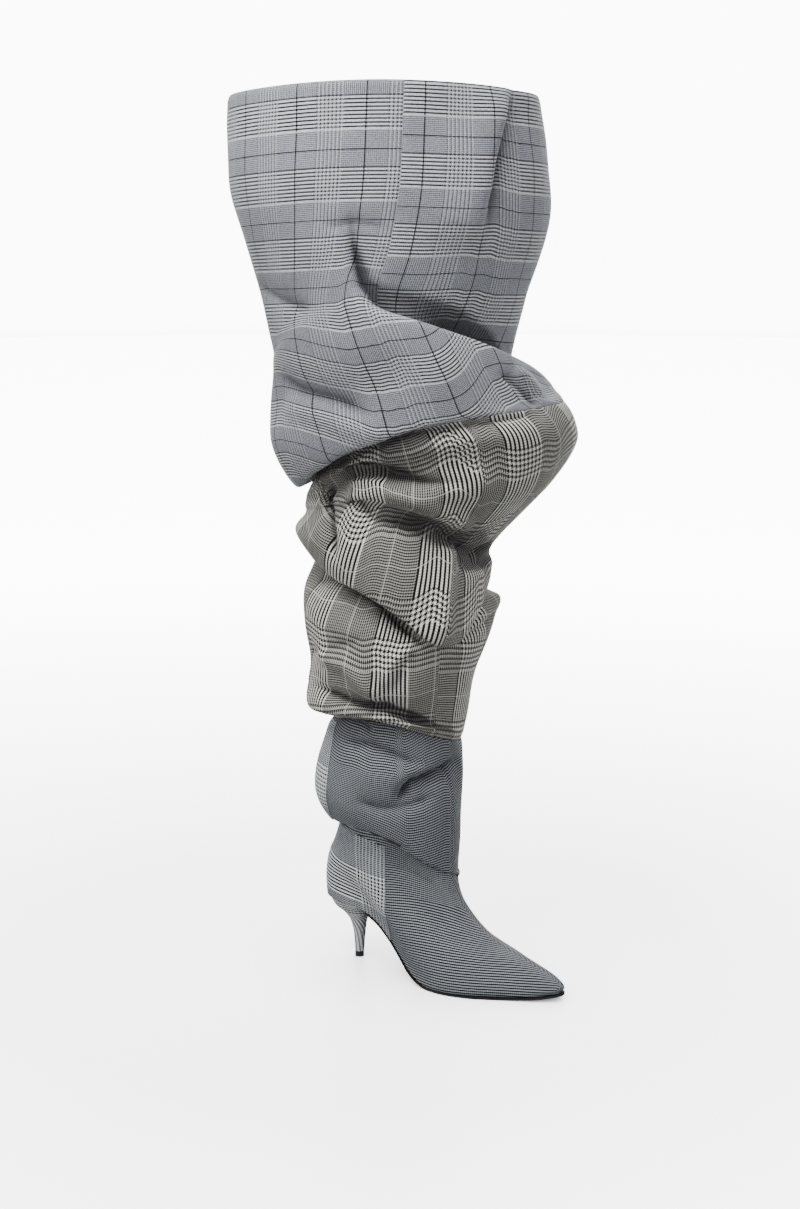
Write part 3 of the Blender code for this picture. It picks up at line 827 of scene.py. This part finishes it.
MIDDLE_FOLDS = [
    # from ring, to ring, reach, rise, spread left and right of the path, path of (side angle, height)
    ("under knee", "knee roll", 100, -9, 5, 7,
     [(140, 510), (129, 514), (112, 519), (98, 520), (79, 516), (69, 513), (50, 508)]),
    ("flap", "knee crease", 103, 8, 7, 10,
     [(136, 512), (127, 511), (109, 508), (93, 505), (72, 492), (53, 474), (32, 452)]),
    ("flap", "knee low", 95, -7, 12, 9,
     [(124, 504), (114, 496), (105, 485), (98, 475), (88, 471), (79, 468), (62, 466), (48, 452)]),
    ("flap", "under knee", 100, -12, 4, 7,
     [(66, 465), (57, 457), (49, 450), (40, 439), (28, 433), (10, 442)]),
    ("flap crease", "under knee", 103, 8, 9, 14,
     [(53, 466), (50.5, 445), (54, 428), (56, 406), (58, 384), (60, 345)]),
    ("flap", "under knee", 101, -6, 6, 8, [(52, 440), (48, 436), (39, 428), (20, 423), (4, 424)]),
    ("calf", "flap crease", 100, 6, 6, 8, [(40, 372), (28, 378), (16, 383), (0, 380), (-16, 376)]),
    ("calf", "flap crease", 104, -6, 5, 7, [(58, 350), (35, 357), (21, 364), (2, 372)]),
    ("flap lip", "knee crease", 86, -10, 7, 5,
     [(127, 522), (130, 512), (136, 492), (129, 476), (123, 456), (121, 425)]),
    ("calf", "flap crease", 74, -5, 10, 14, [(170, 402), (157, 404), (133, 410), (115, 408), (96, 398)]),
    ("calf crease", "calf bulge", 82, -5, 10, 12,
     [(176, 328), (158, 333), (129, 345), (114, 352), (90, 376)]),
    ("calf crease", "calf bulge", 82, 6, 10, 9,
     [(160, 338), (149, 336), (118, 329), (102, 304), (90, 282)]),
    ("calf", "calf bulge", 87, 6, 7, 7, [(60, 358), (70, 353), (78, 348), (88, 330), (91, 300)]),
    ("calf", "calf bulge", 87, -3, 6, 6, [(66, 350), (73, 344), (79, 335), (81, 323), (86, 296)]),
    ("calf bulge", "flap lip", 90, -8, 5, 13,
     [(165, 426), (150, 427), (122, 420), (100, 399), (86, 382), (75, 366), (64, 350), (52, 345)]),
    ("knee roll", "knee seam", 106, -8, 6, 9,
     [(150, 508), (130, 518), (108, 532), (91, 544), (80, 553), (69, 561), (57, 568), (43, 571), (20, 570)]),
    ("calf roll", "calf", 70, -8, 3, 4,
     [(165, 300), (133, 295), (111, 290), (89, 286), (60, 272), (40, 262)]),
]


def mirrored(fold, drop):
    """The same fold on the inner side of the leg, a little lower."""
    first, last, reach, rise, left, right, path = fold
    return first, last, reach, rise, right, left, [(360 - side, height - drop) for side, height in path]


def panel_columns(place, seam_table, back, front, outer):
    """Angles per row: columns run from the back seam to the front one and on to the back again, closer
    together near the front seam, which wanders as its table says."""
    table = np.array(seam_table)
    seam = curve_through(table[:, 0], table[:, 1], place)[:, None]
    t = np.linspace(0, 1, front, endpoint=False)[None]
    before = (back - 360) + (seam - back + 360) * (t + SEAM_CROWD * t * (1 - t))
    t = np.linspace(0, 1, outer, endpoint=False)[None]
    after = seam + (back - seam) * (t - SEAM_CROWD * t * (1 - t))
    return np.radians(np.concatenate([before, after], axis=1)) - TURN


def two_panels(points, front, shifts, upward):
    """Cloth coordinates in metres of two panels that meet at a front seam: across from that seam, evened out
    over the rows above and below, and up from the first row or down from the last, each panel moved by its
    own (across, along) shifts."""
    ring = np.concatenate([points, points[:, :1]], axis=1)
    u = lengths(ring * (1, 1, 0), 1)
    u = u - u[:, front][:, None]
    for _ in range(EVEN_ROUNDS):
        rows = np.concatenate([u[:1], u, u[-1:]])
        u = (rows[:-2] + u + rows[2:]) / 3
    v = lengths(ring, 0)
    if not upward:
        v = v[-1:] - v
    panels = []
    for moves, cut in zip(shifts, (slice(0, front + 1), slice(front, None))):
        across, along = [np.broadcast_to(move, (len(points),))[:, None] for move in moves]
        panels.append(cloth_uv(u[:, cut] + across, v[:, cut] + along))
    return np.concatenate(panels, axis=1)


middle_place = even_rows("ankle seam", "knee seam", MIDDLE_ROWS)
middle_angle = panel_columns(middle_place, MIDDLE_SEAM, BACK_SEAM, MIDDLE_FRONT, MIDDLE_OUTER)
middle_folds = MIDDLE_FOLDS + [mirrored(MIDDLE_FOLDS[k], MIDDLE_INNER_DROP) for k in MIDDLE_INNER_FOLDS]
middle_points, middle_out = draped(middle_place, middle_angle, middle_folds)
middle_points = pressed_seam(middle_points, middle_out, MIDDLE_FRONT)
turn_in(middle_points, LOW_EDGE)
turn_in(middle_points, TOP_EDGE)
outer_shift = (np.interp(middle_place, MIDDLE_SHIFT_RINGS, MIDDLE_SHIFT), 0)
middle_lay = two_panels(middle_points, MIDDLE_FRONT, [MIDDLE_INNER_SHIFT, outer_shift], upward=True)
middle = grid_piece("middle_cloth", middle_points, middle_lay)
INK = (0.003, 0.003, 0.003)
CREAM = (0.95, 0.93, 0.85)
OAT = (0.42, 0.41, 0.375)
middle_warp = {
    "thread": 0.51,
    "repeat": 172,
    "bold": 72,
    "light": 4,
    "bold tones": (INK, CREAM),
    "fine tones": (INK, OAT),
    "lines": [(121.5, 0.6, 0.35, CREAM)],
    "face": 2,
}
middle_weft = dict(middle_warp, thread=0.68, repeat=130, bold=48, lines=[(88.5, 0.6, 0.3, CREAM)], face=-1)
middle.data.materials.append(woven("glen_check", middle_warp, middle_weft, thread_shade=0.4))
# Painted shade: the billow lip's shadow under the knee seam, and the creases, darken the cloth's colour.
middle_shade = under_roll(middle_points, middle_angle, "knee seam", "billow lip", KNEE_SHADE_FALL)
mark_painted_shade(middle, middle_points, middle_out, HOLLOW_SHADE, middle_shade)
hollowed(middle, black_lining)
settle(middle, "shaft_middle")

# Top of the leg: grey check with white bands and dark pane lines, cut in two panels whose seam runs down
# the outer side. It billows over the knee, tucks into a pocket and flares to a turned hem.
TOP_ROWS = 172
TOP_FRONT = 135  # columns before the front seam
TOP_OUTER = 150  # columns after it
TOP_SEAM_FROM = 25.4  # ring
TOP_SEAM_START = 0.3  # rings
TOP_SHIFT = (12.0, -14.0)
TOP_SEWN_SHIFT = (-1.3, -2.0)
TOP_SAG_RINGS = (22.0, 23.5, 25.0, 26.0)
TOP_SAG = (0.42, 0.38, 0.2, 0.0)
SAG_FROM = 40.0
SAG_OVER = 120.0
TOP_INNER_FOLDS = (4, 5, 6)
TOP_INNER_DROP = 26.0
TOP_SEAM = [
    # ring, side angle
    (22.0, 68.0),
    (23.5, 77.0),
    (24.2, 84.0),
    (25.1, 91.5),
    (26.1, 92.3),
    (26.9, 87.0),
    (27.6, 84.0),
    (29.0, 81.5),
]
TOP_FOLDS = [
    # from ring, to ring, reach, rise, spread left and right of the path, path of (side angle, height)
    ("billow edge", "flare", 126, -13, 26, 4,
     [(101, 768), (103, 741), (103, 722), (102, 705), (100, 690), (95, 678), (85, 669), (72, 659), (59, 649),
      (40, 632), (8, 610)]),
    ("thigh", "flare", 128, -2.5, 5, 5, [(116, 744), (109, 741), (102, 745), (86, 738)]),
    ("pocket", "collar", 140, 8, 9, 34,
     [(35, 882), (39, 858), (45, 825), (49, 798), (52, 767), (53, 742), (57, 705)]),
    ("pocket", "collar", 140, -9, 24, 7,
     [(29, 882), (33, 858), (39, 825), (43, 798), (46, 767), (49, 728)]),
    ("knee seam", "billow edge", 120, -7, 12, 18,
     [(166, 600), (152, 601), (130, 592), (111, 582), (90, 568)]),
    ("knee seam", "billow edge", 120, 4, 12, 12, [(160, 580), (150, 578), (117, 568), (80, 552)]),
    ("billow", "thigh", 120, -6, 14, 9,
     [(176, 685), (160, 680), (153, 677), (145, 673), (133, 668), (118, 668)]),
    ("billow lip", "thigh", 120, -10, 34, 34,
     [(182, 578), (166, 576), (148, 576), (128, 582), (108, 592), (88, 604), (66, 612)]),
    ("knee seam", "billow edge", 152, 5, 6, 8, [(38, 617), (35, 611), (30, 601), (22, 582)]),
    ("knee seam", "billow edge", 152, -6, 5, 5, [(46, 612), (40, 604), (34, 594), (26, 576)]),
]
top_place = even_rows("knee seam", "collar", TOP_ROWS)
top_angle = panel_columns(top_place, TOP_SEAM, BACK_SEAM, TOP_FRONT, TOP_OUTER)
top_folds = TOP_FOLDS + [mirrored(TOP_FOLDS[k], TOP_INNER_DROP) for k in TOP_INNER_FOLDS]
top_points, top_out = draped(top_place, top_angle, top_folds)
front_cut = np.clip((top_place - TOP_SEAM_FROM) / TOP_SEAM_START, 0, 1)
top_points = pressed_seam(top_points, top_out * front_cut[:, None, None], TOP_FRONT)
turn_in(top_points, LOW_EDGE)
turn_in(top_points, TOP_EDGE)
sewn = top_place > TOP_SEAM_FROM
front_shift = [np.where(sewn, own, shared) for own, shared in zip(TOP_SEWN_SHIFT, TOP_SHIFT)]
top_lay = two_panels(top_points, TOP_FRONT, [front_shift, TOP_SHIFT], upward=False)
top_sag = np.interp(top_place, TOP_SAG_RINGS, TOP_SAG)[:, None, None]
top_lay[..., 1] += top_sag * np.clip(top_lay[..., 0] - SAG_FROM * MM, 0, SAG_OVER * MM)
top = grid_piece("top_cloth", top_points, top_lay)
BLACK = (0.003, 0.003, 0.004)
SLATE = (0.12, 0.125, 0.142)
ASH = (0.49, 0.505, 0.555)
PEARL = (0.60, 0.615, 0.66)
MIST = (0.85, 0.86, 0.88)
WHITE = (0.88, 0.90, 0.94)
top_weft = {
    "thread": 0.42,
    "repeat": 147,
    "bold": 70,
    "light": 4,
    "bold tones": (BLACK, WHITE),
    "fine tones": (SLATE, ASH),
    "lines": [(107.5, 0.6, 1.0, BLACK), (144.5, 0.6, 0.9, BLACK), (68.5, 1.1, 0.6, MIST)],
    "face": 1,
}
top_warp = {
    "thread": 0.45,
    "repeat": 144,
    "bold": 56,
    "light": 4,
    "bold tones": (SLATE, PEARL),
    "fine tones": (SLATE, ASH),
    "lines": [(98, 1.1, 0.9, BLACK)],
    "face": 0,
}
top.data.materials.append(woven("pane_check", top_warp, top_weft, thread_shade=0.0, marl=0.42))
# Painted shade in the top's creases and hollows, with no roll above it.
mark_painted_shade(top, top_points, top_out, HOLLOW_SHADE, np.zeros(top_angle.shape))
hollowed(top, black_lining)
settle(top, "shaft_top")

# Floor and backdrop: pale matt studio floor in one piece with a round wall far off on all sides.
# It glows with painted light that brightens to white with distance from the boot, and a painted contact
# shadow darkens it softly where the boot stands over it.
FLOOR_OUTLINE = [
    # distance from the boot, height
    (1.0, 0.0),
    (500.0, 0.0),
    (2000.0, 0.0),
    (9000.0, 0.0),
    (9000.0, 6000.0),
]
FLOOR_AROUND = 96
FLOOR_PALE = (0.86, 0.86, 0.87)
GLOW = {
    # distances in metres and strengths of the glow
    "From Min": 0.35,
    "From Max": 2.2,
    "To Min": 3.4,
    "To Max": 11.0,
}
CONTACT_SHADOW_REACH = 0.12  # metres
CONTACT_SHADOW_SAMPLES = 4
floor_angle = np.linspace(0, 2 * math.pi, FLOOR_AROUND, endpoint=False)[None]
floor_reach, floor_height = [column[:, None] for column in np.array(FLOOR_OUTLINE).T]
floor_points = np.stack(
    [
        floor_reach * np.cos(floor_angle),
        floor_reach * np.sin(floor_angle),
        np.repeat(floor_height, FLOOR_AROUND, axis=1),
    ],
    axis=-1,
)
floor = grid_piece("floor", floor_points)
floor_finish = plain("pale_floor", FLOOR_PALE, roughness=0.35, grain=(300, 0.00002))
floor_tree = floor_finish.node_tree
floor_place = floor_tree.nodes.new("ShaderNodeTexCoord")
distance = floor_tree.nodes.new("ShaderNodeVectorMath")
distance.operation = "LENGTH"
floor_tree.links.new(floor_place.outputs["Object"], distance.inputs[0])
glow = floor_tree.nodes.new("ShaderNodeMapRange")
for socket_name, level in GLOW.items():
    glow.inputs[socket_name].default_value = level
floor_tree.links.new(distance.outputs["Value"], glow.inputs["Value"])
# Painted contact shadow: the floor's glow is dimmed where the boot closes it in nearby.
contact_shadow = floor_tree.nodes.new("ShaderNodeAmbientOcclusion")
contact_shadow.inputs["Distance"].default_value = CONTACT_SHADOW_REACH
contact_shadow.samples = CONTACT_SHADOW_SAMPLES
floor_light = maths(floor_tree, "MULTIPLY", glow.outputs["Result"], contact_shadow.outputs["AO"])
floor_shader = floor_tree.nodes["Principled BSDF"]
floor_shader.inputs["Emission Color"].default_value = (1.0, 1.0, 1.0, 1.0)
floor_tree.links.new(floor_light, floor_shader.inputs["Emission Strength"])
floor_finish.cycles.emission_sampling = "NONE"
floor.data.materials.append(floor_finish)
floor.visible_diffuse = False

# Light: a soft key lamp high at the front left, a wide fill at the front right, a lamp overhead, one behind,
# and two weak ones at the left that lift the top of the leg and the foot. An even pale sky fills the rest.
AIM_X = 60.0
LIGHTS = [
    # name, toward the camera, to the right, up, aimed at height, size in metres, spread in degrees, watts
    ("key", 750.0, -500.0, 1900.0, 600.0, 0.6, 180.0, 27.0),
    ("fill", 1500.0, 1700.0, 1100.0, 430.0, 1.6, 180.0, 26.0),
    ("overhead", 300.0, -100.0, 2400.0, 430.0, 1.2, 180.0, 14.0),
    ("upper", 1000.0, -1000.0, 1050.0, 805.0, 0.15, 16.0, 0.11),
    ("low", 1000.0, -1000.0, 500.0, 60.0, 0.8, 60.0, 1.7),
    ("back", -1700.0, 300.0, 1500.0, 430.0, 1.6, 180.0, 40.0),
]
SKY_STRENGTH = 0.14
view_away = np.array([-math.sin(TURN), math.cos(TURN), 0.0])
view_aside = np.array([math.cos(TURN), math.sin(TURN), 0.0])
for lamp_name, toward, aside, up, aim_height, size, spread, watts in LIGHTS:
    lamp_aim = np.array([AIM_X, 0.0, aim_height])
    lamp_at = np.array([AIM_X, 0.0, up]) - view_away * toward + view_aside * aside
    lamp = bpy.data.lights.new(lamp_name, "AREA")
    lamp.size = size
    lamp.spread = math.radians(spread)
    lamp.energy = watts
    lamp_stand = bpy.data.objects.new(lamp_name, lamp)
    lamp_stand.location = lamp_at * MM
    x, y, z = lamp_at - lamp_aim
    lamp_stand.rotation_euler = (math.atan2(math.hypot(x, y), z), 0, math.atan2(x, -y))
    bpy.context.scene.collection.objects.link(lamp_stand)
sky = bpy.data.worlds.new("pale_sky")
sky.use_nodes = True
sky.node_tree.nodes["Background"].inputs["Color"].default_value = (1.0, 1.0, 1.0, 1.0)
sky.node_tree.nodes["Background"].inputs["Strength"].default_value = SKY_STRENGTH
bpy.context.scene.world = sky

# Camera: at the photo's place, height and pitch, with its angle to the boot.
# It is turned a little to the side so that the boot stands mid-frame.
EYE = (1054.3, -1637.5, 775.0)
PITCH = math.radians(11.76)
TURN_TO_BOOT = math.radians(2.05)
LENS = 59.55
SIGHT = 50.0  # metres
shot = bpy.data.cameras.new("camera")
shot.lens = LENS
shot.clip_end = SIGHT
camera = bpy.data.objects.new("camera", shot)
camera.location = np.array(EYE) * MM
camera.rotation_euler = (math.pi / 2 - PITCH, 0, TURN + TURN_TO_BOOT)
bpy.context.scene.collection.objects.link(camera)
bpy.context.scene.camera = camera
